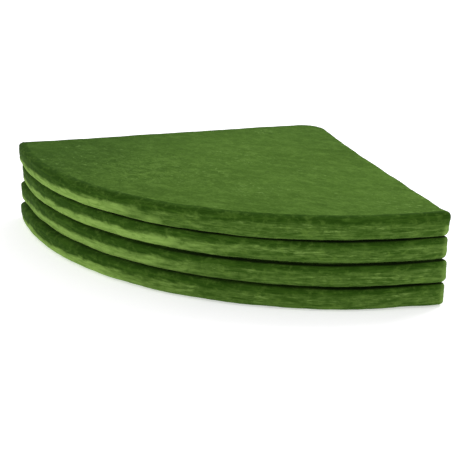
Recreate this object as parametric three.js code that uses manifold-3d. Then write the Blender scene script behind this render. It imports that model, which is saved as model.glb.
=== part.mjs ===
// A round crash landing mat that folds into a quarter-circle stack.
//
// Four quarter-circle foam panels, each in its own velvet cover, are joined by three fabric hinge strips, so that
// the mat folds in a zigzag. It is modelled folded. Millimetres, +Z up. The origin is on the floor, under the middle
// of the folded stack. The rounded corner at the circle's centre points to +Y and the curved edge faces -Y.
//
// All four panels are the same piece. Panels 1 and 3 lie with the play face up, and panels 2 and 4 are turned over.
// Each cover is a play sheet, a floor sheet, a band round the curved edge, a plain band along one straight side and
// round the corner, and two narrow bands on the other straight side with a zip between them.

import * as THREE from "three";
import { mergeVertices } from "three/addons/utils/BufferGeometryUtils.js";
import Module from "manifold-3d";

const wasm = await Module();
wasm.setup();

// Driving dimensions
const MAT_RADIUS = 800; // the open mat is 1600 across
const PITCH = 50; // from one folded panel to the next
const NAP_GAP = 0.8; // between the covers of two folded panels
const THICKNESS = PITCH - NAP_GAP; // one panel with its cover
const HINGE_INSET = 3; // from a straight side to the plane through its hinge axis
const CORNER_R = 55; // plan radius at the circle's centre
const TIP_R = 18; // plan radius where the curved edge meets a straight side
const RIM_R = 14; // rounding of the top and bottom rims
const FABRIC = 1.5; // velvet with its backing
const CLEAR = 0.3; // between pieces that touch
const PANELS = 4;

// Zip, in its side's own frame: X from the circle's centre to the tip, Y outwards from the cover, Z up from mid-height
const ZIP_START = 70; // end of the zip nearest the circle's centre
const ZIP_END = 765; // end of the zip nearest the tip
const ZIP_SLOT = 6.5; // half the height of the slot between the two narrow bands
const TAPE_HALF = 10.5; // half the height of both tapes together
const TAPE_THICK = 0.8;
const TAPE_TUCK = 8; // how far a tape runs on under the next band
const TAPE_SLIT = 0.6; // half the slit between the two tapes
const COIL_EDGE = 3.4; // outer edge of a coil, from the middle of the slit
const COIL_TOP = 0.2;
const GROOVE_DEPTH = 5.4; // the foam's groove for the back of the slider
const GROOVE_HALF = ZIP_SLOT - 0.5; // half the height of that groove

// The slider and its pull. Widths are half widths, from the middle of the slit.
const SLIDER_AT = 745; // the closed slider, near the tip
const SLIDER_HALF = 6; // half its length
const SLIDER_WIDTH = 5;
const SLIDER_NOSE = 4.2; // its width at the end where the zip opens
const SLIDER_TAIL = 3.6; // its width at the end where the zip is closed
const NOSE_LENGTH = 3;
const TAIL_LENGTH = 2.2;
const SLIDER_FRONT = 1.8; // front of the slider, out from the cover
const SLIDER_METAL = 1.2; // thickness of the back plate and the side flanges
const BACK_PLAY = 0.4; // between the tapes and the back plate
const WEDGE_PLAY = 0.25; // between the wedge and each tape
const FLANGE_AT = 4.4;
const FLANGE_END = 3.6; // how far the flanges run towards the slider's tail
const ARCH_OUT = 4.8; // top of the arch, out from the cover
const ARCH_METAL = 0.8;
const ARCH_WIDTH = 1.2;
const FOOT_AT = 3.9; // the arch's two feet, either side of the slider's middle
const FOOT_HALF = 0.6;
const PIVOT_OUT = 2.85; // the pull's pivot, out from the cover
const PULL_LENGTH = 24;
const PULL_THICK = 1.2;
const PULL_WIDTH = 3.5;
const PULL_NECK = 2.9;
const NECK_END = 7; // where the neck starts to widen, from the pivot
const SHOULDER = 9; // where the pull reaches its full width
const EYE_WIDTH = 1.7;
const EYE_END = 5.6;
const BITE = 0.1; // how far joined shapes run into each other

// Hinge strips
const STRIP_HALF = 13; // half the width of a strip
const STRIP_THICK = 1.2;
const STRIP_START = 72;
const STRIP_END = 768;
const STRIP_BULGE = 1.5; // how far the middle of the strip stands out past its edges

// Smoothness of the faceted solids
const ARC_STEPS = 24;
const CORNER_STEPS = 5;
const TIP_STEPS = 4;
const RIM_STEPS = 2;

const DIAGONAL = Math.SQRT1_2;
const CUT = 2000; // larger than the mat, for cutting solids
const SIDE_DEPTH = 40; // how deep the cutting solids reach in from a straight side

// The folded outline reaches from the rounded corner to the middle of the curved edge, and the origin is half-way.
const cornerTop = -HINGE_INSET * Math.SQRT2 - CORNER_R * (Math.SQRT2 - 1);
const CENTRE_Y = (MAT_RADIUS - cornerTop) / 2; // the circle's centre in the part's frame

const velvet = new THREE.MeshStandardMaterial({ color: 0x4d6b2b, roughness: 0.9, metalness: 0 });
const velvetEdge = new THREE.MeshStandardMaterial({ color: 0x40601f, roughness: 0.9, metalness: 0 });
const foam = new THREE.MeshStandardMaterial({ color: 0xe8e2c8, roughness: 1, metalness: 0 });
const nylon = new THREE.MeshStandardMaterial({ color: 0x34502a, roughness: 0.6, metalness: 0 });
const zinc = new THREE.MeshStandardMaterial({ color: 0x9a9c98, roughness: 0.35, metalness: 1 });

// A geometry as a manifold-3d solid, and back.
function solidOf(geometry) {
  const bare = geometry.index ? geometry.toNonIndexed() : geometry.clone();
  bare.deleteAttribute("normal");
  bare.deleteAttribute("uv");
  const merged = mergeVertices(bare, 1e-4);
  return new wasm.Manifold(
    new wasm.Mesh({
      numProp: 3,
      vertProperties: merged.attributes.position.array,
      triVerts: new Uint32Array(merged.index.array),
    }),
  );
}

function geometryOf(solid) {
  const mesh = solid.getMesh();
  const geometry = new THREE.BufferGeometry();
  geometry.setAttribute("position", new THREE.BufferAttribute(mesh.vertProperties, 3));
  geometry.setIndex(new THREE.BufferAttribute(mesh.triVerts, 1));
  return geometry;
}

// A box between two corners.
function boxGeometry(low, high) {
  const size = high.map((value, i) => value - low[i]);
  const middle = high.map((value, i) => (value + low[i]) / 2);
  return new THREE.BoxGeometry(...size).translate(...middle);
}

const box = (low, high) => solidOf(boxGeometry(low, high));

// Points along an arc, both ends included.
function arcPoints(x, y, radius, from, to, steps) {
  return Array.from({ length: steps + 1 }, (_, i) => {
    const angle = from + ((to - from) * i) / steps;
    return new THREE.Vector2(x + radius * Math.cos(angle), y + radius * Math.sin(angle));
  });
}

// The quarter circle seen from above, drawn in by inset all round. The circle's centre is at 0,0.
function plan(inset) {
  const offset = HINGE_INSET + inset;
  const corner = Math.max(CORNER_R - inset, 1);
  const tip = Math.max(TIP_R - inset, 1);
  const arc = MAT_RADIUS - inset;
  const tipAlong = Math.sqrt((arc - tip) ** 2 - (offset + tip) ** 2);
  const tipX = (tipAlong - (offset + tip)) * DIAGONAL;
  const tipY = -(tipAlong + (offset + tip)) * DIAGONAL;
  const tipAngle = Math.atan2(tipY, tipX);
  return new THREE.Shape([
    ...arcPoints(-tipX, tipY, tip, (Math.PI * 3) / 4, Math.PI - tipAngle, TIP_STEPS).slice(0, -1),
    ...arcPoints(0, 0, arc, -Math.PI - tipAngle, tipAngle, ARC_STEPS).slice(0, -1),
    ...arcPoints(tipX, tipY, tip, tipAngle, Math.PI / 4, TIP_STEPS),
    ...arcPoints(0, -(offset + corner) * Math.SQRT2, corner, Math.PI / 4, (Math.PI * 3) / 4, CORNER_STEPS),
  ]);
}

// A quarter-circle slab between two heights, with its rims rounded.
function roundedSlab(inset, low, high, rim) {
  const slab = new THREE.ExtrudeGeometry(plan(inset + rim), {
    depth: high - low - 2 * rim,
    bevelSize: rim,
    bevelThickness: rim,
    bevelSegments: RIM_STEPS,
  });
  return solidOf(slab.translate(0, 0, low + rim));
}

// A quarter-circle prism with straight walls, for cutting the shell along its seams.
function prism(inset, low, high) {
  const slab = new THREE.ExtrudeGeometry(plan(inset), { depth: high - low, bevelEnabled: false });
  return solidOf(slab.translate(0, 0, low));
}

// The zip is on the side that runs to +X-Y. Its frame has X from the circle's centre to the tip, Y outwards and Z up.
// The plain side's frame has X from the other tip to the circle's centre, so that Y is outwards there too.
const sideMatrix = (turn) =>
  new THREE.Matrix4()
    .makeRotationZ(turn)
    .multiply(new THREE.Matrix4().makeTranslation(0, -HINGE_INSET, THICKNESS / 2));
const zipSideMatrix = sideMatrix(-Math.PI / 4);
const plainSideMatrix = sideMatrix(Math.PI / 4);

const onZipSide = (low, high) => solidOf(boxGeometry(low, high).applyMatrix4(zipSideMatrix));
const onPlainSide = (low, high) => solidOf(boxGeometry(low, high).applyMatrix4(plainSideMatrix));

// Everything near the two straight sides and the corner, as far out as reach from the circle's centre.
function straightSides(reach) {
  return onZipSide([-CUT, -SIDE_DEPTH, -CUT], [reach, CUT, CUT]).add(
    onPlainSide([-reach, -SIDE_DEPTH, -CUT], [CUT, CUT, CUT]),
  );
}

// One panel's cover, cut from a closed shell along its seams. Each piece keeps a gap to the next one.
function coverPieces() {
  const outer = roundedSlab(0, 0, THICKNESS, RIM_R);
  const inner = roundedSlab(FABRIC, FABRIC, THICKNESS - FABRIC, RIM_R - FABRIC);
  const shell = outer.subtract(inner);
  const middle = THICKNESS / 2;
  const band = shell.subtract(prism(RIM_R - CLEAR, -1, THICKNESS + 1));
  const straight = band.intersect(straightSides(ZIP_END - CLEAR));

  // The zip's length of its side is two narrow bands with a slot between them.
  const zipLength = (start) => onZipSide([start, -SIDE_DEPTH / 2, -CUT], [CUT, CUT, CUT]);
  const zipBands = straight.intersect(zipLength(ZIP_START + CLEAR));
  return {
    play_sheet: shell.intersect(prism(RIM_R, middle, THICKNESS + 1)),
    floor_sheet: shell.intersect(prism(RIM_R, -1, middle)),
    curved_band: band.subtract(straightSides(ZIP_END)),
    plain_side_band: straight.subtract(zipLength(ZIP_START)),
    zip_band_upper: zipBands.intersect(onZipSide([-CUT, -CUT, ZIP_SLOT], [CUT, CUT, CUT])),
    zip_band_lower: zipBands.intersect(onZipSide([-CUT, -CUT, -CUT], [CUT, CUT, -ZIP_SLOT])),
  };
}

// The foam block, with a shallow seat for the zip tapes and a deeper groove for the back of the slider.
function foamCore() {
  const inset = FABRIC + CLEAR;
  const block = roundedSlab(inset, inset, THICKNESS - inset, RIM_R - inset);
  const seat = onZipSide(
    [ZIP_START - TAPE_TUCK - 1, -FABRIC - TAPE_THICK - 3 * CLEAR, -TAPE_HALF - 1],
    [ZIP_END + TAPE_TUCK + 1, CUT, TAPE_HALF + 1],
  );
  const groove = onZipSide([ZIP_START, -GROOVE_DEPTH, -GROOVE_HALF], [ZIP_END, CUT, GROOVE_HALF]);
  return block.subtract(seat).subtract(groove);
}

// One half of the zip: a woven tape with the nylon coil along its inner edge. side is 1 for the upper half.
function zipTape(side) {
  const front = -FABRIC - CLEAR;
  const edges = (a, b) => (side > 0 ? [a, b] : [-b, -a]);
  const [tapeLow, tapeHigh] = edges(TAPE_SLIT, TAPE_HALF);
  const [coilLow, coilHigh] = edges(TAPE_SLIT, COIL_EDGE);
  const tape = box(
    [ZIP_START - TAPE_TUCK, front - TAPE_THICK, tapeLow],
    [ZIP_END + TAPE_TUCK, front, tapeHigh],
  );
  const coil = box([ZIP_START + 1, front - BITE, coilLow], [ZIP_END - 1, COIL_TOP, coilHigh]);
  return geometryOf(tape.add(coil));
}

// The slider: a front and a back plate joined by a thin wedge that runs in the slit, side flanges that hold the
// coils together, and the arch that the pull's eye turns in. Its own frame has X 0 at the slider's middle.
function zipSlider() {
  const outline = new THREE.Shape([
    new THREE.Vector2(-SLIDER_HALF, -SLIDER_NOSE),
    new THREE.Vector2(-SLIDER_HALF + NOSE_LENGTH, -SLIDER_WIDTH),
    new THREE.Vector2(SLIDER_HALF - TAIL_LENGTH, -SLIDER_WIDTH),
    new THREE.Vector2(SLIDER_HALF, -SLIDER_TAIL),
    new THREE.Vector2(SLIDER_HALF, SLIDER_TAIL),
    new THREE.Vector2(SLIDER_HALF - TAIL_LENGTH, SLIDER_WIDTH),
    new THREE.Vector2(-SLIDER_HALF + NOSE_LENGTH, SLIDER_WIDTH),
    new THREE.Vector2(-SLIDER_HALF, SLIDER_NOSE),
  ]);
  const plate = (low, high) =>
    solidOf(
      new THREE.ExtrudeGeometry(outline, { depth: high - low, bevelEnabled: false })
        .rotateX(Math.PI / 2)
        .translate(0, high, 0),
    );
  const frontLow = COIL_TOP + CLEAR;
  const back = -FABRIC - CLEAR - TAPE_THICK - BACK_PLAY;
  const wedge = TAPE_SLIT - WEDGE_PLAY;
  const wedgeEnd = SLIDER_HALF - 0.5;
  const flange = (z) =>
    box(
      [-NOSE_LENGTH, -FABRIC, z - SLIDER_METAL / 2],
      [FLANGE_END, frontLow + BITE, z + SLIDER_METAL / 2],
    );
  const archIn = ARCH_OUT - ARCH_METAL;
  const archHalf = FOOT_AT + FOOT_HALF;
  const foot = (x) =>
    box([x - FOOT_HALF, SLIDER_FRONT - BITE, -ARCH_WIDTH], [x + FOOT_HALF, archIn, ARCH_WIDTH]);
  return geometryOf(
    plate(frontLow, SLIDER_FRONT)
      .add(plate(back - SLIDER_METAL, back))
      .add(box([1, back - BITE, -wedge], [wedgeEnd, frontLow + BITE, wedge]))
      .add(flange(FLANGE_AT))
      .add(flange(-FLANGE_AT))
      .add(foot(FOOT_AT))
      .add(foot(-FOOT_AT))
      .add(box([-archHalf, archIn - BITE, -ARCH_WIDTH], [archHalf, ARCH_OUT, ARCH_WIDTH])),
  );
}

// The pull: a flat tab with a rectangular eye round the arch. Its own frame has its pivot along Z at 0,0.
function zipPull() {
  const half = PULL_THICK / 2;
  const outline = new THREE.Shape([
    new THREE.Vector2(-half, -PULL_NECK),
    new THREE.Vector2(NECK_END, -PULL_NECK),
    new THREE.Vector2(SHOULDER, -PULL_WIDTH),
    ...arcPoints(PULL_LENGTH - PULL_WIDTH, 0, PULL_WIDTH, -Math.PI / 2, Math.PI / 2, 6),
    new THREE.Vector2(SHOULDER, PULL_WIDTH),
    new THREE.Vector2(NECK_END, PULL_NECK),
    new THREE.Vector2(-half, PULL_NECK),
  ]);
  const eye = new THREE.Path([
    new THREE.Vector2(half, -EYE_WIDTH),
    new THREE.Vector2(half, EYE_WIDTH),
    new THREE.Vector2(EYE_END, EYE_WIDTH),
    new THREE.Vector2(EYE_END, -EYE_WIDTH),
  ]);
  outline.holes.push(eye);
  const tab = new THREE.ExtrudeGeometry(outline, { depth: PULL_THICK, bevelEnabled: false });
  return tab.translate(0, 0, -half).rotateX(Math.PI / 2);
}

// A hinge strip: velvet sewn to the rims of two folded panels, standing out a little over the fold between them.
// Its own frame has X along the side, Y outwards from the covers and Z up from the hinge axis.
function hingeStrip() {
  const bow = (z) => CLEAR + STRIP_BULGE * (1 - (z / STRIP_HALF) ** 2);
  const heights = [-1, -0.6, -0.2, 0.2, 0.6, 1].map((share) => share * STRIP_HALF);
  const profile = new THREE.Shape([
    ...heights.map((z) => new THREE.Vector2(bow(z), z)),
    ...heights.reverse().map((z) => new THREE.Vector2(bow(z) + STRIP_THICK, z)),
  ]);
  const strip = new THREE.ExtrudeGeometry(profile, { depth: STRIP_END - STRIP_START, bevelEnabled: false });
  // The profile's X becomes Y, its Y becomes Z, and the extrusion runs along X.
  const axes = new THREE.Matrix4().makeBasis(
    new THREE.Vector3(0, 1, 0),
    new THREE.Vector3(0, 0, 1),
    new THREE.Vector3(1, 0, 0),
  );
  return strip.applyMatrix4(axes);
}

function named(name, geometry, material) {
  const mesh = new THREE.Mesh(geometry, material);
  mesh.name = name;
  return mesh;
}

const cover = Object.fromEntries(
  Object.entries(coverPieces()).map(([name, solid]) => [name, geometryOf(solid)]),
);
const core = geometryOf(foamCore());
const tapes = { zip_tape_upper: zipTape(1), zip_tape_lower: zipTape(-1) };

function makePanel(number) {
  const panel = new THREE.Group();
  const piece = (name) => `panel_${number}_${name}`;
  panel.add(named(piece("foam_core"), core, foam));
  for (const [name, geometry] of Object.entries(cover)) {
    panel.add(named(piece(name), geometry, name.endsWith("sheet") ? velvet : velvetEdge));
  }

  const zip = new THREE.Group();
  zip.applyMatrix4(zipSideMatrix);
  for (const [name, geometry] of Object.entries(tapes)) zip.add(named(piece(name), geometry, nylon));
  const slider = named(piece("zip_slider"), zipSlider(), zinc);
  slider.position.x = SLIDER_AT;
  const pull = named(piece("zip_pull"), zipPull(), zinc);
  pull.position.set(SLIDER_AT, PIVOT_OUT, 0);
  pull.rotation.z = Math.PI;
  zip.add(slider, pull);
  panel.add(zip);

  // Every other panel is turned over about the line from the corner to the middle of the curved edge.
  const turnedOver = number % 2 === 0;
  panel.rotation.y = turnedOver ? Math.PI : 0;
  panel.position.z = (number - 1) * PITCH + (turnedOver ? THICKNESS : 0);
  return panel;
}

// A strip at the fold between one panel and the next: on the right, then the left, then the right.
function makeHinge(lower) {
  const right = lower % 2 === 1;
  const strip = named(`hinge_strip_${lower}_${lower + 1}`, hingeStrip(), velvetEdge);
  const side = new THREE.Group();
  side.rotation.z = right ? -Math.PI / 4 : Math.PI / 4;
  side.position.z = lower * PITCH - NAP_GAP / 2;
  strip.position.set(right ? STRIP_START : -STRIP_END, -HINGE_INSET, 0);
  side.add(strip);
  return side;
}

const mat = new THREE.Group();
mat.position.y = CENTRE_Y;
for (let number = 1; number <= PANELS; number += 1) mat.add(makePanel(number));
for (let lower = 1; lower < PANELS; lower += 1) mat.add(makeHinge(lower));

export default mat;
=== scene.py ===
"""A round velvet crash mat, folded into a quarter-circle stack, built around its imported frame.

Metres, +Z up. Panel 1 is at the bottom of the stack and panel 4 at the top. Panels 2 and 4 lie turned over.
"""

import math

import bpy
import numpy as np
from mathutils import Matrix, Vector, noise
from mathutils.geometry import delaunay_2d_cdt


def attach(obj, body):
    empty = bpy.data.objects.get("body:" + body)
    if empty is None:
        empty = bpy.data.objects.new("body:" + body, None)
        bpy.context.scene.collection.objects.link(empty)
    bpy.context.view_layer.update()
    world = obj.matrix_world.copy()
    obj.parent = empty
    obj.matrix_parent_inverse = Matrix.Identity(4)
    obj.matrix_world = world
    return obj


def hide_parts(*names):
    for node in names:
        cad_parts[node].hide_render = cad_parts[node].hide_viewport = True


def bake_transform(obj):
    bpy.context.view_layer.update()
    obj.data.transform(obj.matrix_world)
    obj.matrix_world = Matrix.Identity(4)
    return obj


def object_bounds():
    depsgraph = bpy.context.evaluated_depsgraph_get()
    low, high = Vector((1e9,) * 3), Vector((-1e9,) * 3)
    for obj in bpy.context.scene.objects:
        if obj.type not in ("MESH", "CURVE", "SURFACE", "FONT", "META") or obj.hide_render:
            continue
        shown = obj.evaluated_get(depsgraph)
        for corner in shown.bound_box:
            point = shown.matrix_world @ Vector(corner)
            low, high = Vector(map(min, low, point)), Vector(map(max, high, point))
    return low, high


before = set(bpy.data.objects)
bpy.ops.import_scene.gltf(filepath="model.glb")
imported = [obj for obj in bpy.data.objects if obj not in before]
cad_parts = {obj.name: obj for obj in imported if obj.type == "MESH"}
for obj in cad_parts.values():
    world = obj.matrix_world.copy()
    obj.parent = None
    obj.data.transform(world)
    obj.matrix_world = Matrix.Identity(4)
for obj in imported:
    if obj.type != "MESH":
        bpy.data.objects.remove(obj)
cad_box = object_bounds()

# Sizes, as in the CAD model
RADIUS = 0.800
PITCH = 0.050
NAP_GAP = 0.0008
THICK = PITCH - NAP_GAP
HINGE_INSET = 0.003
CENTRE_Y = cad_box[0][1] + RADIUS  # the circle's centre
PANELS = 4
ZIP_START, ZIP_END = 0.070, 0.765  # from the circle's centre
STRIP_START, STRIP_END = 0.072, 0.768
STRIP_HALF = 0.013

# Shape of the padded covers
CORNER_R = 0.072
TIP_R = 0.013
RIM_R = 0.0095  # rounding of the rims
NAP = 0.0003  # the pile of a cover stays this far inside its half of the gap
SIDE_DRAW = 0.0010  # how far the straight sides draw in between their ends
CHANNEL_HALF = 0.0066  # half the height of the open channel that the zip lies in
CHANNEL_DEPTH = 0.0048
FOAM_INSET = 0.0032
# How far each cover's curved edge has slid on its foam in the folded stack, in x and y
LEAN = {1: (-0.0070, -0.0046), 2: (0.0050, 0.0011), 3: (0.0030, 0.0024), 4: (-0.0007, -0.0021)}
PUFF_SHARE = 0.6  # how much of the simulated padding is kept, and of its small puckers
PUCKERS = 0.12
TOP_SIDE_OUT = 0.0022  # the top panel's right rim stands out at its ends and bows in between them
TOP_SIDE_BOW = 0.0056
TOP_LIFT = 0.0012  # the top panel's free face swells a little
TIP_CURL = 0.0030  # the right tips curl up a little
TIP_DRAW = {1: -0.0025, 2: 0.0008, 3: 0.0030, 4: 0.0022}  # and draw in, or stand out
TIP_CRISP = 0.5  # how much less the rims are rounded at the right tips
TIP_DROP = {1: 0.0075}  # the bottom panel's left tip is pressed flatter
TIP_BULGE = {2: 0.0080}  # the left tip of the second panel bulges out, where its cover wrinkles

RIGHT, CORNER, LEFT, LEFT_TIP, ARC, RIGHT_TIP = range(6)
QUARTER = math.pi / 4


def smooth(low, high, x):
    t = np.clip((np.asarray(x, float) - low) / (high - low), 0, 1)
    return t * t * (3 - 2 * t)


def mix(a, b, t):
    return a + (b - a) * t


# --- The plan of a panel -------------------------------------------------------------------------------------------


def plan_outline(step=0.008):
    """Points round a panel's plan with the circle's centre at 0,0, their outward directions, the distance run along
    the outline, and the part of the outline that each is on."""
    offset = HINGE_INSET + TIP_R
    along = math.sqrt((RADIUS - TIP_R) ** 2 - offset**2)
    right = np.array([math.sqrt(0.5), -math.sqrt(0.5)])
    out_right = np.array([math.sqrt(0.5), math.sqrt(0.5)])
    tip = right * along - out_right * offset
    tip_angle = math.atan2(tip[1], tip[0])
    start = HINGE_INSET + CORNER_R
    points, outward, part = [], [], []

    def line(side, a, b, kind):
        direction = np.array([side * right[0], right[1]])
        normal = np.array([side * out_right[0], out_right[1]])
        count = round(abs(b - a) / step)
        for k in range(count):
            points.append(direction * mix(a, b, k / count) - normal * HINGE_INSET)
            outward.append(normal)
            part.append(kind)

    def arc(centre, radius, a, b, spacing, kind):
        count = max(4, round(radius * abs(b - a) / spacing))
        for k in range(count):
            angle = mix(a, b, k / count)
            normal = np.array([math.cos(angle), math.sin(angle)])
            points.append(np.array(centre) + radius * normal)
            outward.append(normal)
            part.append(kind)

    line(1, along, start, RIGHT)
    arc((0, -start * math.sqrt(2)), CORNER_R, QUARTER, 3 * QUARTER, step * 0.7, CORNER)
    line(-1, start, along, LEFT)
    arc((-tip[0], tip[1]), TIP_R, 3 * QUARTER, math.pi - tip_angle, 0.0035, LEFT_TIP)
    arc((0, 0), RADIUS, -math.pi - tip_angle, tip_angle, step, ARC)
    arc(tip, TIP_R, tip_angle, QUARTER, 0.0035, RIGHT_TIP)
    points, outward = np.array(points), np.array(outward)
    gaps = np.linalg.norm(np.roll(points, -1, axis=0) - points, axis=1)
    run = np.concatenate([[0], np.cumsum(gaps)[:-1]])
    return points, outward, run, np.array(part), float(gaps.sum())


PLAN, OUT, RUN, PART, ROUND = plan_outline()
COUNT = len(PLAN)
MIDDLE = np.array([0.0, -0.46])
ALONG_RIGHT = PLAN @ np.array([math.sqrt(0.5), -math.sqrt(0.5)])  # from the circle's centre, along the right side


def face_grid(spacing=0.014):
    """The flat middle of a face: rings that shrink towards the middle, then a web of triangles inside the last."""
    rings = (0.0, 0.012, 0.03, 0.055)
    edge = PLAN - OUT * RIM_R
    contours = [MIDDLE + (edge - MIDDLE) * (1 - t) for t in rings]
    inner = contours[-1]
    shrunk = MIDDLE + (edge - MIDDLE) * (1 - rings[-1] - 0.03)
    low, high = inner.min(axis=0), inner.max(axis=0)
    inside = []
    rows = int((high[1] - low[1]) / (spacing * 0.866))
    for row in range(rows + 1):
        y = low[1] + row * spacing * 0.866
        for column in range(int((high[0] - low[0]) / spacing) + 1):
            x = low[0] + (column + 0.5 * (row % 2)) * spacing
            ahead = np.roll(shrunk, -1, axis=0) - shrunk
            away = np.array([x, y]) - shrunk
            if np.all(ahead[:, 0] * away[:, 1] - ahead[:, 1] * away[:, 0] > 0):
                inside.append((x, y))
    verts = [Vector(p) for p in inner] + [Vector(p) for p in inside]
    loop = [(i, (i + 1) % COUNT) for i in range(COUNT)]
    points, _, faces, origin, _, _ = delaunay_2d_cdt(verts, loop, [], 1, 1e-6)
    assert len(points) == len(verts) and all(o == [i] for i, o in enumerate(origin))
    return contours, np.array(inside), [tuple(f) for f in faces]


CONTOURS, WEB, WEB_FACES = face_grid()


# --- One panel's closed skin ---------------------------------------------------------------------------------------


def profile(rim, half, cuts):
    """Rings from the top face's edge to the bottom face's edge: (inset, height from mid-thickness, distance along)."""
    steps = 6
    rings = []
    for k in range(steps + 1):
        angle = math.pi / 2 * k / steps
        rings.append((rim * (1 - math.sin(angle)), half - rim * (1 - math.cos(angle))))
    flat = half - rim
    rings += [(0.0, z) for z in cuts if z < flat - 1e-5]
    lower = [(inset, -z) for inset, z in reversed(rings) if z > 1e-6]
    rings += lower
    run, total = [0.0], 0.0
    for a, b in zip(rings, rings[1:]):
        total += math.dist(a, b)
        run.append(total)
    return [(inset, z, r) for (inset, z), r in zip(rings, run)]


CUTS = [0.0116, 0.0086, 0.0071, CHANNEL_HALF, 0.0062, 0.0030, 0.0]
DETAILED = profile(RIM_R, THICK / 2 - NAP, CUTS)
PLAIN = profile(RIM_R, THICK / 2 - NAP, [0.0075, 0.0])


def skin(rings):
    """Vertices (plan x, y, height from mid-thickness), faces, and for each vertex its place: outline index or -1,
    distance along the profile, and whether it is on the upper face (1), band (0) or lower face (-1)."""
    verts, index, along, side = [], [], [], []
    ids = np.arange(COUNT)
    length = rings[-1][2]

    def add(points, z, outline, v, where):
        first = len(verts)
        verts.extend((p[0], p[1], z) for p in points)
        index.extend(outline)
        along.extend([v] * len(points))
        side.extend([where] * len(points))
        return first

    faces = []
    top = rings[0][1]
    web_top = add(WEB, top, [-1] * len(WEB), 0.0, 1)
    starts = [add(c, top, ids, 0.0, 1) for c in reversed(CONTOURS[1:])]
    starts += [add(PLAN - OUT * inset, z, ids, v, 0) for inset, z, v in rings]
    starts += [add(c, -top, ids, length, -1) for c in CONTOURS[1:]]
    web_bottom = add(WEB, -top, [-1] * len(WEB), length, -1)
    for a, b in zip(starts, starts[1:]):
        for i in range(COUNT):
            j = (i + 1) % COUNT
            faces.append((a + i, b + i, b + j, a + j))
    for face in WEB_FACES:
        up = [starts[0] + k if k < COUNT else web_top + k - COUNT for k in face]
        down = [starts[-1] + k if k < COUNT else web_bottom + k - COUNT for k in face]
        faces.append(tuple(up))
        faces.append(tuple(reversed(down)))
    return np.array(verts), faces, np.array(index), np.array(along), np.array(side)


def mesh_object(name, verts, faces, material=None, smooth_faces=True):
    mesh = bpy.data.meshes.new(name)
    mesh.from_pydata([tuple(v) for v in verts], [], faces)
    mesh.update()
    obj = bpy.data.objects.new(name, mesh)
    bpy.context.scene.collection.objects.link(obj)
    if smooth_faces:
        mesh.polygons.foreach_set("use_smooth", [True] * len(mesh.polygons))
    if material:
        mesh.materials.append(material)
    return obj


PLAIN_SKIN = skin(PLAIN)
FINE_SKIN = skin(DETAILED)


# --- Padding: a cloth simulation pressed out round the foam, then folds and dents ----------------------------------


def inset_of(points):
    """How far in from the plan's outline each point lies."""
    flat = points[:, :2]
    right = -HINGE_INSET - flat @ np.array([math.sqrt(0.5), math.sqrt(0.5)])
    left = -HINGE_INSET - flat @ np.array([-math.sqrt(0.5), math.sqrt(0.5)])
    return np.minimum(np.minimum(RADIUS - np.hypot(flat[:, 0], flat[:, 1]), right), left)


def puffed(number):
    """How far each vertex of the plain skin moves when the cover is pressed out round its foam."""
    verts, faces, index, along, side = PLAIN_SKIN
    rng = np.random.default_rng(40 + number)
    start = verts + rng.normal(0, 0.0002, verts.shape)
    obj = mesh_object(f"sim_{number}", start, faces)
    group = obj.vertex_groups.new(name="held")
    held = smooth(0.020, 0.070, inset_of(verts))
    for i in np.nonzero(held > 0)[0]:
        group.add([int(i)], float(held[i]), "REPLACE")
    cloth = obj.modifiers.new("Cloth", "CLOTH")
    settings = cloth.settings
    settings.use_pressure = True
    settings.uniform_pressure_force = 4
    settings.effector_weights.gravity = 0
    settings.vertex_group_mass = "held"
    settings.mass = 0.3
    settings.shrink_min = -0.03
    settings.bending_stiffness = 0.5
    scene = bpy.context.scene
    for f in range(1, 21):
        scene.frame_set(f)
    done = obj.evaluated_get(bpy.context.evaluated_depsgraph_get())
    co = np.empty(len(verts) * 3)
    done.data.vertices.foreach_get("co", co)
    moved = co.reshape(-1, 3) - verts
    bpy.data.objects.remove(obj)
    scene.frame_set(1)
    reach = np.linalg.norm(moved, axis=1, keepdims=True)
    cap = 0.004
    return moved * np.minimum(1, cap / np.maximum(reach, 1e-9))


def onto_fine(moved):
    """The plain skin's movement carried over to the fine skin, which has more rings round the band."""
    _, _, _, along, side = PLAIN_SKIN
    fine_side = FINE_SKIN[4]
    out = np.zeros((len(fine_side), 3))
    for where in (1, -1):
        out[fine_side == where] = moved[side == where]
    coarse = moved[side == 0].reshape(-1, COUNT, 3)
    runs = np.array([r for _, _, r in PLAIN])
    fine = []
    for _, _, r in DETAILED:
        k = int(np.clip(np.searchsorted(runs, r) - 1, 0, len(runs) - 2))
        t = (r - runs[k]) / (runs[k + 1] - runs[k])
        fine.append(mix(coarse[k], coarse[k + 1], t))
    out[fine_side == 0] = np.concatenate(fine)
    return out


def eased(values, reach=5):
    """Each ring's values smoothed along the outline, with a little of the small puckers left in."""
    rings = values[FINE_SKIN[2] >= 0].reshape(-1, COUNT, 3)
    weights = np.exp(-0.5 * (np.arange(-2 * reach, 2 * reach + 1) / reach) ** 2)
    soft = sum(w * np.roll(rings, k, axis=1) for k, w in enumerate(weights, -2 * reach)) / weights.sum()
    out = values * PUCKERS
    out[FINE_SKIN[2] >= 0] = mix(soft * PUFF_SHARE, rings, PUCKERS).reshape(-1, 3)
    return out


def noise_at(points, scale, seed=0.0):
    shift = Vector((seed, seed * 1.7, seed * 0.6))
    return np.array([noise.noise(Vector(p) * scale + shift) for p in points])


def zip_part(index):
    """1 where a vertex is on the zip's length of its side."""
    on = np.zeros(len(index))
    ring = index >= 0
    i = index[ring]
    on_side = (PART[i] == RIGHT) | (PART[i] == CORNER)
    on[ring] = on_side & (ALONG_RIGHT[i] > ZIP_START - 0.002) & (ALONG_RIGHT[i] < ZIP_END + 0.004)
    return on


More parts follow.
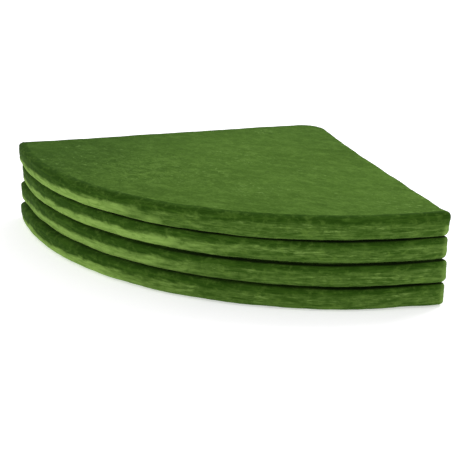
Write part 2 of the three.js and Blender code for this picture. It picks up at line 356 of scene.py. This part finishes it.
def panel_shape(number, inward=0.0):
    """The fine skin of one panel in the panel's own frame: play face up, zip on the right, circle's centre at 0,0.
    inward shrinks it, for the foam inside."""
    verts, _, index, along, side = FINE_SKIN
    ring = index >= 0
    moved = eased(onto_fine(PUFF[number]))
    normal = np.zeros((len(verts), 2))
    normal[ring] = OUT[index[ring]]
    part = np.full(len(verts), -1)
    part[ring] = PART[index[ring]]
    near = 1 - smooth(0.015, 0.060, inset_of(verts))
    height = np.abs(verts[:, 2])
    band = side == 0

    # Dents and soft folds run along the bands.
    dents = 0.0011 * noise_at(verts * [13, 13, 55], 1, number * 5.3) + 0.0006 * noise_at(verts * [45, 45, 150], 1, number)
    outwards = (moved[:, :2] * normal).sum(axis=1) + np.where(band, dents, 0)
    # The straight sides keep within the hinge planes, and the zip's side keeps its plane at mid-height.
    straight = (part == RIGHT) | (part == LEFT)
    kept = np.where(straight, np.minimum(outwards - SIDE_DRAW, 0.0), outwards)
    kept = np.where(part == CORNER, outwards * 0.6, kept)
    zip_side = zip_part(index)
    zip_keep = zip_side * (1 - smooth(0.0100, 0.0148, height))
    kept *= 1 - zip_keep
    moved[:, :2] = normal * kept[:, None] + np.where(band[:, None], 0, moved[:, :2]) * (1 - zip_keep)[:, None]
    moved[:, 2] *= 1 - zip_keep
    shape = verts + moved

    # Nothing stands above the plane in which the folded panels meet.
    limit = THICK / 2 - NAP
    waves = 0.0007 * noise_at(verts * [9, 9, 0], 1, number * 3.1) + 0.0004 * noise_at(verts * [23, 23, 0], 1, number)
    shape[:, 2] += np.where(band, 0, -side * np.abs(waves)) * (1 - near)
    shape[:, 2] = np.clip(shape[:, 2], -limit, limit)

    channel = zip_side * band * (height < CHANNEL_HALF - 1e-4)
    shape[:, :2] -= normal * (channel * CHANNEL_DEPTH + inward * near)[:, None]
    shape[:, 2] *= 1 - inward / limit
    return shape


def in_stack(points, number):
    """From a panel's own frame to its place in the folded stack."""
    out = np.array(points, float)
    if number % 2 == 0:
        out[:, 0] *= -1
        out[:, 2] *= -1
    out[:, 1] += CENTRE_Y
    out[:, 2] += (number - 1) * PITCH + THICK / 2
    return out


ALONG = np.array([math.sqrt(0.5), -math.sqrt(0.5)])  # the stack's right side, from the circle's centre
ACROSS = np.array([math.sqrt(0.5), math.sqrt(0.5)])  # outwards from it


def angle_of(points):
    """Degrees round the curved edge from its middle, positive to the right."""
    return np.degrees(np.arctan2(points[:, 0], CENTRE_Y - points[:, 1]))


def settled(points, number):
    """The small shifts in the folded stack: each curved edge slides a little, and the top panel's right rim bows in."""
    out = points.copy()
    flat = points[:, :2] - [0, CENTRE_Y]
    radius = np.linalg.norm(flat, axis=1)
    ray = flat / radius[:, None]
    slide = (ray @ np.array(LEAN[number])) * (1 - smooth(0.03, 0.30, RADIUS - radius))
    angle = angle_of(points)
    outer = 1 - smooth(0.0, 0.05, RADIUS - radius)
    slide += outer * TIP_BULGE.get(number, 0.0) * (1 - smooth(-45, -35, angle))
    slide -= outer * TIP_DRAW[number] * smooth(38, 46, angle)
    height = points[:, 2] - (number - 0.5) * PITCH
    rounded = np.clip(np.abs(height) - (THICK / 2 - RIM_R), 0, RIM_R)
    slide += outer * TIP_CRISP * smooth(36, 43, angle) * (RIM_R - np.sqrt(RIM_R**2 - rounded**2))
    out[:, :2] += ray * slide[:, None]
    out[:, 2] += outer * TIP_CURL * smooth(28, 45, angle)
    pressed = (1 - smooth(-45, -39, angle)) * smooth(-THICK * 0.3, THICK * 0.5, height)
    out[:, 2] -= outer * TIP_DROP.get(number, 0.0) * pressed
    if number == PANELS:
        out[:, 2] += TOP_LIFT * smooth(-THICK * 0.3, THICK * 0.45, height)
        share = np.clip(flat @ ALONG / RADIUS, 0, 1)
        bow = TOP_SIDE_OUT - TOP_SIDE_BOW * np.sin(math.pi * share**0.85) ** 2
        weight = 1 - smooth(0.0, 0.12, -(flat @ ACROSS))
        weight *= smooth(-THICK * 0.20, THICK * 0.35, height)
        out[:, :2] += ACROSS * (bow * weight)[:, None]
    return out


PUFF = {n: puffed(n) for n in range(1, PANELS + 1)}


# --- Materials ---------------------------------------------------------------------------------------------------


class Nodes:
    """A material's nodes, with short ways to add and join them."""

    def __init__(self, name):
        self.material = bpy.data.materials.new(name)
        self.material.use_nodes = True
        self.tree = self.material.node_tree
        self.tree.nodes.clear()
        self.output = self.tree.nodes.new("ShaderNodeOutputMaterial")
        self.shader = self.tree.nodes.new("ShaderNodeBsdfPrincipled")
        self.tree.links.new(self.shader.outputs[0], self.output.inputs[0])

    def put(self, socket, value):
        if isinstance(value, bpy.types.NodeSocket):
            self.tree.links.new(value, socket)
        elif value is not None:
            socket.default_value = value

    def add(self, kind, inputs=(), **settings):
        node = self.tree.nodes.new(kind)
        for key, value in settings.items():
            setattr(node, key, value)
        for key, value in dict(inputs).items():
            self.put(node.inputs[key], value)
        return node

    def attribute(self, name):
        return self.add("ShaderNodeAttribute", attribute_name=name).outputs["Vector"]

    def split(self, vector):
        node = self.add("ShaderNodeSeparateXYZ", {0: vector})
        return node.outputs[0], node.outputs[1], node.outputs[2]

    def math(self, operation, a, b=None, c=None, clamp=False):
        node = self.add("ShaderNodeMath", operation=operation, use_clamp=clamp)
        for socket, value in zip(node.inputs, (a, b, c)):
            self.put(socket, value)
        return node.outputs[0]

    def scaled(self, vector, scale, turn=0.0):
        return self.add("ShaderNodeMapping", {"Vector": vector, "Scale": scale, "Rotation": (0, 0, turn)}).outputs[0]

    def noise(self, vector, scale=1.0, detail=3.0, roughness=0.55, distortion=0.0):
        inputs = {"Vector": vector, "Scale": scale, "Detail": detail, "Roughness": roughness, "Distortion": distortion}
        return self.add("ShaderNodeTexNoise", inputs).outputs[0]

    def step(self, value, low, high, out_low=0.0, out_high=1.0):
        inputs = {0: value, 1: low, 2: high, 3: out_low, 4: out_high}
        return self.add("ShaderNodeMapRange", inputs, interpolation_type="SMOOTHSTEP").outputs[0]

    def mixed(self, factor, a, b, blend="MIX"):
        node = self.add("ShaderNodeMix", data_type="RGBA", blend_type=blend)
        self.put(node.inputs["Factor"], factor)
        self.put(node.inputs[6], a)
        self.put(node.inputs[7], b)
        return node.outputs[2]

    def bump(self, height, strength, distance, normal=None):
        inputs = {"Height": height, "Strength": strength, "Distance": distance}
        if normal is not None:
            inputs["Normal"] = normal
        return self.add("ShaderNodeBump", inputs).outputs[0]

    def set(self, **values):
        for key, value in values.items():
            self.put(self.shader.inputs[key.replace("_", " ")], value)
        return self.material


def rgb(r, g, b):
    return (r, g, b, 1.0)


STROKE = math.radians(29)  # the way the pile was stroked, in plan


def velvet(name, seed):
    """Crushed velvet. Attribute rest is the place on the folded stack. Attribute paint holds how far down the edge
    band a point is from 0 to 1, whether it is band (1) or face (0), and how much painted sheen lightens the band's
    lower half (on the faces: how much the pile has been handled).
    Attribute pile holds painted shade in the crease where the panels meet, a painted highlight at the right tips, and
    the tone of the face."""
    n = Nodes(name)
    rest = n.add("ShaderNodeVectorMath", {0: n.attribute("rest"), 1: (seed, seed * 0.37, 0)}).outputs[0]
    down, on_band, sheen_and_wear = n.split(n.attribute("paint"))
    crease_shade, tip_highlight, tone = n.split(n.attribute("pile"))

    # The faces: broad clouds, streaks where the pile was stroked, small crushed marks
    clouds = n.noise(n.scaled(rest, (3.4, 3.4, 3.4)), 1, 3, 0.5)
    streaks = n.noise(n.scaled(rest, (11, 40, 60), STROKE), 1, 4, 0.62, 0.6)
    crush = n.noise(n.scaled(rest, (55, 120, 120), STROKE + 0.3), 1, 3, 0.6, 1.4)
    patches = n.noise(n.scaled(rest, (5, 8, 8), STROKE), 1, 2, 0.5)
    face = n.mixed(n.step(clouds, 0.32, 0.68), rgb(0.053, 0.115, 0.012), rgb(0.071, 0.149, 0.018))
    face = n.mixed(n.step(streaks, 0.36, 0.72), face, rgb(0.088, 0.174, 0.025))
    mottle = n.noise(n.scaled(rest, (34, 46, 46), STROKE), 1, 5, 0.70, 0.9)
    grain = n.noise(n.scaled(rest, (150, 230, 230), STROKE), 1, 3, 0.7, 0.4)
    handled = n.math("MULTIPLY_ADD", sheen_and_wear, 0.45, 0.45)
    face = n.mixed(n.math("MULTIPLY", n.step(mottle, 0.55, 0.38), handled), face, rgb(0.039, 0.092, 0.008))
    face = n.mixed(n.math("MULTIPLY", n.step(mottle, 0.52, 0.68), handled), face, rgb(0.116, 0.214, 0.036))
    face = n.mixed(n.math("MULTIPLY", n.step(grain, 0.50, 0.30), handled), face, rgb(0.034, 0.080, 0.007))
    face = n.mixed(n.math("MULTIPLY", n.step(grain, 0.52, 0.74), handled), face, rgb(0.130, 0.232, 0.044))
    often = n.math("MULTIPLY_ADD", sheen_and_wear, 0.16, patches)
    marks = n.math("MULTIPLY", n.step(crush, 0.58, 0.74), n.step(often, 0.44, 0.60))
    face = n.mixed(marks, face, rgb(0.185, 0.305, 0.075))
    face = n.mixed(n.math("MULTIPLY", n.step(crush, 0.44, 0.30), 0.45), face, rgb(0.035, 0.080, 0.008))
    face = n.mixed(tone, n.mixed(1.0, face, rgb(0.62, 0.69, 0.62), "MULTIPLY"), face)

    # The edge band: painted shade on the upper half; on the lower half the middle colour, turning to painted sheen
    # where the sheen is strong; a smudged line between them
    edge_streaks = n.noise(n.scaled(rest, (18, 18, 170)), 1, 4, 0.66, 0.8)
    fine = n.noise(n.scaled(rest, (36, 36, 300)), 1, 4, 0.66, 0.5)
    rub = n.noise(n.scaled(rest, (62, 62, 84)), 1, 4, 0.68, 0.3)
    smudge = n.noise(n.scaled(rest, (17, 17, 50)), 1, 4, 0.6, 0.6)
    line = n.math("ADD", down, n.math("MULTIPLY_ADD", smudge, 0.44, -0.22))
    line = n.math("ADD", line, n.math("MULTIPLY_ADD", sheen_and_wear, -0.215, 0.12))
    lower = n.step(line, 0.35, 0.53)
    # The upper half's colour, darkened as painted shade
    shade_band = n.mixed(n.step(edge_streaks, 0.40, 0.72), rgb(0.020, 0.057, 0.004), rgb(0.044, 0.104, 0.010))
    shade_band = n.mixed(n.math("MULTIPLY", n.step(rub, 0.48, 0.72), 0.65), shade_band, rgb(0.080, 0.155, 0.022))
    middle = n.mixed(n.step(edge_streaks, 0.34, 0.68), rgb(0.034, 0.084, 0.008), rgb(0.088, 0.164, 0.028))
    ridge = n.math("MULTIPLY_ADD", n.math("ABSOLUTE", n.math("SUBTRACT", down, 0.5)), -2.2, 1.0, clamp=True)
    flecks = n.math("MULTIPLY", n.step(fine, 0.50, 0.66), n.step(smudge, 0.40, 0.58))
    middle = n.mixed(n.math("MULTIPLY", flecks, ridge), middle, rgb(0.170, 0.280, 0.062))
    middle = n.mixed(n.math("MULTIPLY", n.step(fine, 0.44, 0.30), 0.7), middle, rgb(0.020, 0.055, 0.004))
    middle = n.mixed(n.math("MULTIPLY", n.step(rub, 0.50, 0.72), 0.5), middle, rgb(0.125, 0.225, 0.035))
    middle = n.mixed(n.math("MULTIPLY", n.step(rub, 0.48, 0.30), 0.6), middle, rgb(0.026, 0.068, 0.005))
    # The lower half's painted sheen
    sheen_band = n.mixed(n.step(edge_streaks, 0.25, 0.62), rgb(0.120, 0.225, 0.034), rgb(0.245, 0.395, 0.085))
    sheen_band = n.mixed(n.math("MULTIPLY", n.step(rub, 0.48, 0.30), 0.6), sheen_band, rgb(0.110, 0.215, 0.030))
    reach = n.math("ADD", sheen_and_wear, n.math("MULTIPLY_ADD", smudge, 0.9, -0.45))
    edge = n.mixed(lower, shade_band, n.mixed(n.step(reach, 0.15, 0.85), middle, sheen_band))
    # Painted highlight at the right tips
    edge = n.mixed(n.math("MULTIPLY", tip_highlight, 0.6), edge, rgb(0.140, 0.235, 0.050))

    colour = n.mixed(n.step(on_band, 0.35, 0.65), face, edge)
    # Painted shade, nearly black, in the crease where a panel lies on this one
    colour = n.mixed(crease_shade, colour, rgb(0.004, 0.010, 0.001))
    pile = n.noise(n.scaled(rest, (900, 900, 900)), 1, 2, 0.6)
    nap = n.noise(n.scaled(rest, (70, 70, 160)), 1, 4, 0.6, 0.8)
    normal = n.bump(pile, 0.35, 0.0006)
    normal = n.bump(nap, 0.25, 0.0015, normal)
    n.set(Base_Color=colour, Roughness=0.95, Normal=normal)
    n.set(Specular_IOR_Level=0.03, Sheen_Weight=0.06, Sheen_Roughness=0.45, Sheen_Tint=rgb(0.55, 0.85, 0.30))
    return n.material


def foam_material():
    """Open-cell polyurethane foam, pale yellow."""
    n = Nodes("foam")
    rest = n.attribute("rest")
    cells = n.add("ShaderNodeTexVoronoi", {"Vector": rest, "Scale": 420}).outputs[0]
    clouds = n.noise(rest, 14, 3)
    colour = n.mixed(n.step(clouds, 0.3, 0.7), rgb(0.72, 0.66, 0.42), rgb(0.82, 0.78, 0.58))
    colour = n.mixed(n.step(cells, 0.35, 0.10), colour, rgb(0.50, 0.44, 0.24))
    n.set(Base_Color=colour, Roughness=0.95, Specular_IOR_Level=0.2, Normal=n.bump(cells, 0.7, 0.001))
    return n.material


def tape_material():
    """The zip's woven tape: fine ribs along it, crossed by the weft."""
    n = Nodes("zip_tape")
    rest = n.attribute("rest")
    x, y, z = n.split(rest)
    ribs = n.math("SINE", n.math("MULTIPLY", z, 2 * math.pi / 0.0009))
    weft = n.math("SINE", n.math("MULTIPLY", x, 2 * math.pi / 0.0007))
    weave = n.math("MULTIPLY", ribs, weft)
    tint = n.noise(rest, 60, 3)
    colour = n.mixed(n.step(weave, -0.6, 0.9), rgb(0.018, 0.050, 0.010), rgb(0.045, 0.100, 0.022))
    colour = n.mixed(n.math("MULTIPLY", n.step(tint, 0.4, 0.7), 0.3), colour, rgb(0.070, 0.130, 0.035))
    n.set(Base_Color=colour, Roughness=0.8, Specular_IOR_Level=0.25, Normal=n.bump(weave, 0.5, 0.0002))
    return n.material


def coil_material():
    """Moulded nylon, a little glossy."""
    n = Nodes("zip_coil")
    rest = n.attribute("rest")
    tint = n.noise(rest, 90, 3)
    colour = n.mixed(n.step(tint, 0.35, 0.65), rgb(0.022, 0.058, 0.012), rgb(0.040, 0.088, 0.020))
    n.set(Base_Color=colour, Roughness=n.step(tint, 0.3, 0.7, 0.32, 0.48), Specular_IOR_Level=0.5)
    return n.material


def zinc_material():
    """Die-cast zinc with a brushed grain and patchy wear."""
    n = Nodes("zip_zinc")
    place = n.add("ShaderNodeTexCoord").outputs["Object"]
    grain = n.noise(n.scaled(place, (900, 4000, 900), math.pi / 4), 1, 3)
    wear = n.noise(place, 700, 4)
    colour = n.mixed(n.step(wear, 0.35, 0.65), rgb(0.27, 0.28, 0.28), rgb(0.38, 0.38, 0.37))
    n.set(Base_Color=colour, Roughness=n.step(grain, 0.3, 0.7, 0.26, 0.46), Normal=n.bump(grain, 0.25, 0.0001))
    n.set(Metallic=1.0)
    return n.material


def thread_material():
    """Twisted sewing thread."""
    n = Nodes("thread")
    twist = n.noise(n.scaled(n.attribute("rest"), (1500, 1500, 3000)), 1, 2)
    colour = n.mixed(n.step(twist, 0.35, 0.65), rgb(0.040, 0.090, 0.015), rgb(0.100, 0.180, 0.040))
    n.set(Base_Color=colour, Roughness=0.7, Specular_IOR_Level=0.3)
    return n.material


# --- Covers ------------------------------------------------------------------------------------------------------

TOTAL_RUN = DETAILED[-1][2]
SHEEN_FROM, SHEEN_TO = -26.0, 26.0  # degrees round the curved edge, where the painted sheen on the band's lower half fades out
CREASE_SHADE_ANGLES = {1: (6, 33), 2: (-17, 14), 3: (-28, -3)}  # degrees round the curved edge where the painted shade in the crease above a panel turns dark
# How far each panel's painted sheen is shifted round the curved edge, in degrees
SHEEN_SHIFT = {1: -2, 2: 0, 3: 6, 4: -4}
SWEPT = (-0.20, -0.20)  # the middle of the part of each face where the pile was handled most
FOAM = foam_material()


def set_attribute(obj, name, values):
    layer = obj.data.attributes.new(name, "FLOAT_VECTOR", "POINT")
    layer.data.foreach_set("vector", np.asarray(values, float).ravel())


def pile_values(rest, number):
    """What the velvet material reads for each vertex: attributes paint and pile."""
    _, _, index, along, side = FINE_SKIN
    turned = number % 2 == 0
    down = 1 - along / TOTAL_RUN if turned else along / TOTAL_RUN
    edge_run = np.minimum(along, TOTAL_RUN - along)
    angle = angle_of(rest)
    from_curve = RADIUS - np.hypot(rest[:, 0], rest[:, 1] - CENTRE_Y)
    part = np.where(index >= 0, PART[index], -1)
    straight = (part == RIGHT) | (part == LEFT) | (part == CORNER)
    on_band = np.where(straight, smooth(0.0060, 0.0100, edge_run), smooth(0.0, 0.0030, edge_run))
    on_band = np.maximum(on_band, 1 - smooth(0.0115, 0.0150, from_curve))
    # The painted sheen on the band's lower half: strongest at the left of the curved edge, fading out to the right
    shift = SHEEN_SHIFT[number]
    sheen_fade = 1 - smooth(SHEEN_FROM + shift, SHEEN_TO + shift, angle)
    sheen_fade *= 1 + 0.40 * (1 - smooth(-44, -30, angle))  # above 1 the band's painted sheen gets narrower, towards the left tips
    if number in TIP_BULGE:
        sheen_fade *= smooth(-45.5, -42.0, angle)
    on_curve = from_curve < 0.03
    # Painted sheen at the right tips (on the top panel only on its lower half); away from the curved edge the band's
    # lower half keeps a weaker painted sheen
    tip_sheen = smooth(43.0, 44.6, angle) * np.where(number == PANELS, 0.8 * (down > 0.45), 0.5)
    sheen_and_wear = mix(np.maximum(sheen_fade, tip_sheen), 0.35, smooth(0.010, 0.060, from_curve))
    # On the faces it says how much the pile has been handled: most where a hand swept over the left of the stack
    swept = np.exp(-(((rest[:, 0] - SWEPT[0]) / 0.16) ** 2) - ((rest[:, 1] - SWEPT[1]) / 0.13) ** 2)
    sheen_and_wear = np.where((side != 0) & (from_curve > 0.017), swept, sheen_and_wear)

    # Where a panel lies on this one, painted shade darkens the crease along the upper rim of the curved edge
    crease_shade = np.zeros(len(rest))
    if number < PANELS:
        low, high = CREASE_SHADE_ANGLES[number]
        pressed = (side == 0) & (down < 0.5) & on_curve
        crease_shade = pressed * (1 - smooth(0.0038, 0.0070, edge_run)) * mix(0.10, 1.0, smooth(low, high, angle))

    # A narrow painted highlight at each right tip on the band; on the top panel only on its lower half
    tip_highlight = on_curve * (side == 0) * smooth(43.6, 44.4, angle) * (1 - smooth(44.9, 45.6, angle))
    tip_highlight *= (number < PANELS) | (down > 0.5)
    tone = smooth(-0.45, 0.0, rest[:, 0]) * mix(1, 0.45, smooth(0.06, 0.32, rest[:, 1]))
    return np.stack([down, on_band, sheen_and_wear], axis=1), np.stack([crease_shade, tip_highlight, tone], axis=1)


def make_cover(number):
    rest = settled(in_stack(panel_shape(number), number), number)
    obj = mesh_object(f"panel_{number}_cover", rest, FINE_SKIN[1], velvet(f"velvet_{number}", number * 1.3))
    paint, pile = pile_values(rest, number)
    set_attribute(obj, "rest", rest)
    set_attribute(obj, "paint", paint)
    set_attribute(obj, "pile", pile)
    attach(obj, f"panel_{number}")
    covered = ("play_sheet", "floor_sheet", "curved_band", "plain_side_band", "zip_band_upper", "zip_band_lower")
    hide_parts(*[f"panel_{number}_{piece}" for piece in covered])
    return obj


def make_foam(number):
    rest = settled(in_stack(panel_shape(number, FOAM_INSET), number), number)
    obj = mesh_object(f"panel_{number}_foam", rest, FINE_SKIN[1], FOAM)
    set_attribute(obj, "rest", rest)
    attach(obj, f"panel_{number}")
    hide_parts(f"panel_{number}_foam_core")


covers = {n: make_cover(n) for n in range(1, PANELS + 1)}
for n in range(1, PANELS + 1):
    make_foam(n)


# --- Zips --------------------------------------------------------------------------------------------------------

TAPE_FRONT, TAPE_BACK = -0.0018, -0.0026  # out from the side's plane
TAPE_INNER, TAPE_OUTER = 0.00045, 0.0078  # from the zip's middle line
COIL_PITCH = 0.0020
COIL_WIRE = 0.00036
COIL_MIDDLE = (-0.00085, 0.0019)  # out from the side's plane, and from the zip's middle line
COIL_REACH = (0.00065, 0.0011)
TAPE = tape_material()
COIL = coil_material()
ZINC = zinc_material()


def from_zip(points):
    """From the zip's frame (X from the circle's centre to the tip, Y outwards, Z up) to the panel's own frame."""
    x, y, z = np.asarray(points, float).T
    flat = x[:, None] * ALONG + (y - HINGE_INSET)[:, None] * ACROSS
    return np.column_stack([flat, z])


def tube(path, radius, sides):
    """Vertices and faces of a round wire along a path, with closed ends."""
    path = np.asarray(path, float)
    ahead = np.gradient(path, axis=0)
    ahead /= np.linalg.norm(ahead, axis=1, keepdims=True)
    first = np.cross(ahead, [1.0, 0.13, 0.07])
    first /= np.linalg.norm(first, axis=1, keepdims=True)
    second = np.cross(ahead, first)
    angles = np.arange(sides) * 2 * math.pi / sides
    rings = path[:, None] + radius * (
        first[:, None] * np.cos(angles)[None, :, None] + second[:, None] * np.sin(angles)[None, :, None]
    )
    return rings.reshape(-1, 3), bridged(len(path), sides)


def bridged(count, sides):
    """Faces between a row of closed rings, and over both ends."""
    faces = []
    for i in range(count - 1):
        for j in range(sides):
            k = (j + 1) % sides
            faces.append((i * sides + j, i * sides + k, (i + 1) * sides + k, (i + 1) * sides + j))
    faces.append(tuple(reversed(range(sides))))
    faces.append(tuple((count - 1) * sides + j for j in range(sides)))
    return faces


def tape_half(side, rng):
    """One woven tape, a little uneven along its length, in the zip's frame."""
    count = 141
    x = np.linspace(ZIP_START - 0.006, ZIP_END + 0.006, count)
    edge = 0.0002
    section = [
        (TAPE_BACK, TAPE_INNER + edge),
        (TAPE_BACK + edge, TAPE_INNER),
        (TAPE_FRONT - edge, TAPE_INNER),
        (TAPE_FRONT, TAPE_INNER + edge),
        (TAPE_FRONT - 0.0001, 0.0040),
        (TAPE_FRONT, 0.0060),
        (TAPE_FRONT, TAPE_OUTER),
        (TAPE_BACK, TAPE_OUTER),
    ]
    wave = rng.normal(0, 0.00004, (count, len(section)))
    verts = [(x[i], y + wave[i, j], side * z) for i in range(count) for j, (y, z) in enumerate(section)]
    faces = bridged(count, len(section))
    return np.array(verts), faces if side > 0 else [tuple(reversed(f)) for f in faces]


def coil_half(side):
    """The nylon coil that is sewn along the tape's inner edge, in the zip's frame."""
    per_turn = 6
    turns = int((ZIP_END - ZIP_START - 0.002) / COIL_PITCH)
    step = np.arange(turns * per_turn) / per_turn
    angle = 2 * math.pi * step
    x = ZIP_START + 0.001 + COIL_PITCH * (step + (0.5 if side < 0 else 0))
    y = COIL_MIDDLE[0] + COIL_REACH[0] * np.sin(angle)
    z = side * (COIL_MIDDLE[1] + COIL_REACH[1] * np.cos(angle))
    return tube(np.column_stack([x, y, z]), COIL_WIRE, 4)


def make_zip(number):
    rng = np.random.default_rng(70 + number)
    for side, name in ((1, "upper"), (-1, "lower")):
        tape_verts, tape_faces = tape_half(side, rng)
        coil_verts, coil_faces = coil_half(side)
        rest = in_stack(from_zip(np.concatenate([tape_verts, coil_verts])), number)
        faces = tape_faces + [tuple(i + len(tape_verts) for i in face) for face in coil_faces]
        obj = mesh_object(f"panel_{number}_zip_{name}_half", rest, faces, TAPE)
        obj.data.materials.append(COIL)
        which = [0] * len(tape_faces) + [1] * len(coil_faces)
        obj.data.polygons.foreach_set("material_index", which)
        set_attribute(obj, "rest", rest)
        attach(obj, f"panel_{number}")
        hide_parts(f"panel_{number}_zip_tape_{name}")
    for metal in ("zip_slider", "zip_pull"):
        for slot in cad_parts[f"panel_{number}_{metal}"].material_slots:
            slot.material = ZINC


for n in range(1, PANELS + 1):
    make_zip(n)


# --- Hinge strips ------------------------------------------------------------------------------------------------

STRIP_THICK = 0.0010
STRIP_SINK = 0.0006  # how far the strip's sewn edges sink into the covers' pile
STRIP_CREST = 0.0004  # how far short of the hinge plane the middle of the strip stays
STITCH_AT = 0.0108
STITCH_LONG, STITCH_EVERY = 0.0042, 0.0062
THREAD = thread_material()


def side_surface(number, right, height):
    """Where a cover's straight side runs at a height in the stack: places along it, and how far in from the hinge
    plane it is there."""
    co = np.empty(len(covers[number].data.vertices) * 3)
    covers[number].data.vertices.foreach_get("co", co)
    co = co.reshape(-1, 3) - [0, CENTRE_Y, 0]
    index = FINE_SKIN[2]
    turned = number % 2 == 0
    wanted = RIGHT if right != turned else LEFT
    on_side = (index >= 0) & (FINE_SKIN[4] == 0)
    on_side[on_side] = PART[index[on_side]] == wanted
    mirror = 1 if right else -1
    flat = co[on_side, :2] * [mirror, 1]
    along, inwards, z = flat @ ALONG, -(flat @ ACROSS), co[on_side, 2]
    columns = index[on_side]
    places, insets = [], []
    for i in np.unique(columns):
        mine = columns == i
        order = np.argsort(z[mine])
        places.append(along[mine].mean())
        insets.append(np.interp(height, z[mine][order], inwards[mine][order]))
    order = np.argsort(places)
    return np.array(places)[order], np.array(insets)[order]


def from_side(points, right):
    """From along the side, out from the hinge plane and height, to the folded stack."""
    x, out, z = np.asarray(points, float).T
    flat = (x[:, None] * ALONG + out[:, None] * ACROSS) * [1 if right else -1, 1]
    return np.column_stack([flat[:, 0], flat[:, 1] + CENTRE_Y, z])


def make_hinge(lower):
    """A strip of velvet sewn to the rims of two folded panels, bowed over the fold between them."""
    right = lower % 2 == 1
    axis_z = lower * PITCH - NAP_GAP / 2
    rows, count = 13, 88
    x = np.linspace(STRIP_START + 0.004, STRIP_END + 0.004, count)
    share = np.linspace(-1, 1, rows)
    below = np.interp(x, *side_surface(lower, right, axis_z - STRIP_HALF))
    above = np.interp(x, *side_surface(lower + 1, right, axis_z + STRIP_HALF))
    ripple = noise_at(np.column_stack([x * 30, x * 0, x * 0]), 1, lower * 2.3) * 0.0004
    outer, inner = [], []
    for i in range(count):
        edge = -mix(below[i], above[i], (share + 1) / 2) - STRIP_SINK + STRIP_THICK
        crest = (1 - share**2) ** 0.8
        out = mix(edge, -STRIP_CREST - abs(ripple[i]), crest)
        outer += [(x[i], o, axis_z + t * STRIP_HALF) for o, t in zip(out, share)]
        inner += [(x[i], o - STRIP_THICK, axis_z + t * (STRIP_HALF - 0.0002)) for o, t in zip(out, share)]
    outer, inner = np.array(outer).reshape(count, rows, 3), np.array(inner).reshape(count, rows, 3)
    rings = np.concatenate([outer, inner[:, ::-1]], axis=1)
    verts, faces = [rings.reshape(-1, 3)], bridged(count, 2 * rows)
    total = len(verts[0])
    cloth_faces = len(faces)
    for level in (-STITCH_AT, STITCH_AT):
        for start in np.arange(x[0] + 0.003, x[-1] - STITCH_LONG, STITCH_EVERY):
            place = np.linspace(start, start + STITCH_LONG, 5)
            surface = [
                np.interp(level, share * STRIP_HALF, np.interp(p, x, np.arange(count)) * 0 + outer[k, :, 1])
                for p, k in zip(place, np.clip(np.searchsorted(x, place), 0, count - 1))
            ]
            lift = 0.0002 * np.sin(np.linspace(0, math.pi, 5))
            path = np.column_stack([place, np.array(surface) + lift, np.full(5, axis_z + level)])
            stitch, stitch_faces = tube(path, 0.00028, 5)
            verts.append(stitch)
            faces += [tuple(i + total for i in face) for face in stitch_faces]
            total += len(stitch)
    rest = from_side(np.concatenate(verts), right)
    if not right:
        faces = [tuple(reversed(face)) for face in faces]
    obj = mesh_object(f"hinge_{lower}_{lower + 1}_velvet", rest, faces, velvet(f"velvet_hinge_{lower}", lower * 2.1))
    obj.data.materials.append(THREAD)
    obj.data.polygons.foreach_set("material_index", [0] * cloth_faces + [1] * (len(faces) - cloth_faces))
    spread = np.clip((rest[:, 2] - axis_z) / STRIP_HALF, -1, 1)
    set_attribute(obj, "rest", rest)
    # The strip takes the edge band's colours: painted shade on its upper part, no painted sheen
    set_attribute(obj, "paint", np.stack([0.45 - 0.25 * spread, np.ones(len(rest)), np.zeros(len(rest))], axis=1))
    set_attribute(obj, "pile", np.zeros((len(rest), 3)))
    middle = from_side([((STRIP_START + STRIP_END) / 2, 0, axis_z)], right)[0]
    start, end = middle - [0, 0, STRIP_HALF], middle + [0, 0, STRIP_HALF]
    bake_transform(obj)
    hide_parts(f"hinge_strip_{lower}_{lower + 1}")


for n in range(1, PANELS):
    make_hinge(n)


# --- Stage -------------------------------------------------------------------------------------------------------


def make_stage():
    scene = bpy.context.scene
    scene.view_settings.view_transform = "Standard"
    world = bpy.data.worlds.new("studio")
    world.use_nodes = True
    world.node_tree.nodes["Background"].inputs[0].default_value = rgb(1, 1, 1)
    world.node_tree.nodes["Background"].inputs[1].default_value = 0.75
    scene.world = world

    floor = mesh_object("floor", [(-20, -20, 0), (20, -20, 0), (20, 20, 0), (-20, 20, 0)], [(0, 1, 2, 3)])
    n = Nodes("floor_white")
    n.set(Base_Color=rgb(0.900, 0.882, 0.918), Roughness=0.9, Emission_Color=rgb(1, 1, 1), Emission_Strength=0.47)
    floor.data.materials.append(n.material)

    def area(name, place, target, size, power):
        lamp = bpy.data.lights.new(name, "AREA")
        lamp.shape = "DISK"
        lamp.size = size
        lamp.energy = power
        obj = bpy.data.objects.new(name, lamp)
        obj.location = place
        obj.rotation_euler = (Vector(target) - Vector(place)).to_track_quat("-Z", "Y").to_euler()
        scene.collection.objects.link(obj)

    area("key_light", (0.9, 1.9, 3.0), (0, 0, 0.1), 1.6, 60)


def make_camera():
    azimuth, elevation, distance = math.radians(30.25), math.radians(20.07), 2.718 * RADIUS
    target = Vector((0.0801 * RADIUS, -0.7013 * RADIUS + CENTRE_Y, 0.0763 * RADIUS))
    back = Vector(
        (
            math.sin(azimuth) * math.cos(elevation),
            -math.cos(azimuth) * math.cos(elevation),
            math.sin(elevation),
        )
    )
    data = bpy.data.cameras.new("camera")
    data.sensor_width = 36
    data.lens = 73.1
    camera = bpy.data.objects.new("camera", data)
    camera.location = target + back * distance
    camera.rotation_euler = back.to_track_quat("Z", "Y").to_euler()
    bpy.context.scene.collection.objects.link(camera)
    bpy.context.scene.camera = camera


make_stage()
make_camera()
